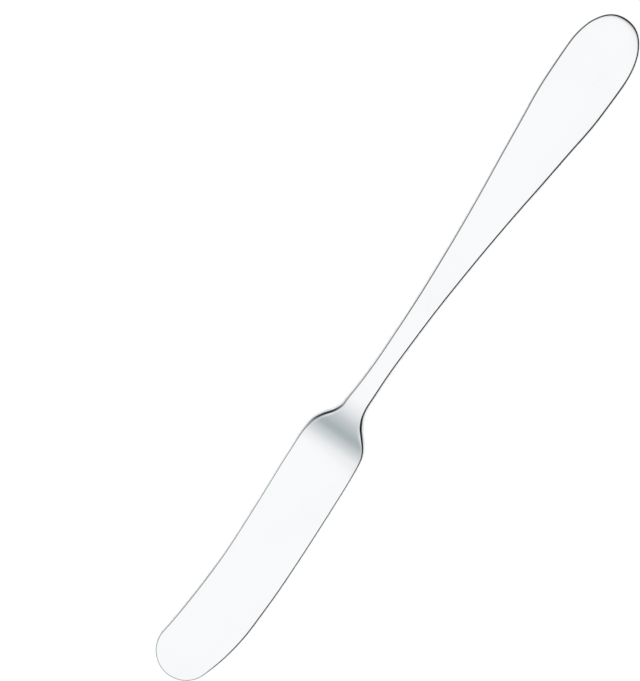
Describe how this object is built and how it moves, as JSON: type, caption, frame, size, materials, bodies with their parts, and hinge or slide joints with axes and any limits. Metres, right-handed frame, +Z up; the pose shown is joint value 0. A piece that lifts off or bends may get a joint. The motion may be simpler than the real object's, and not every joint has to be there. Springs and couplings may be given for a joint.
{
  "type": "butter knife",
  "caption": "One-piece polished steel butter knife: flat rounded handle, narrow neck, sloped bolster and a broad round-tipped spreading blade.",
  "frame": {"origin": "middle of the handle's flat underside, on the handle's centre line, which is the face that the knife lies on", "axes": "+X along the handle to the blade's tip, +Y to the spreading edge of the blade, +Z up from the table"},
  "size_m": [0.1721, 0.0173, 0.0039],
  "materials": {
    "polished_steel": "mirror polished stainless steel"
  },
  "bodies": {
    "root": {"butter_knife": "polished_steel"}
  },
  "joints": []
}
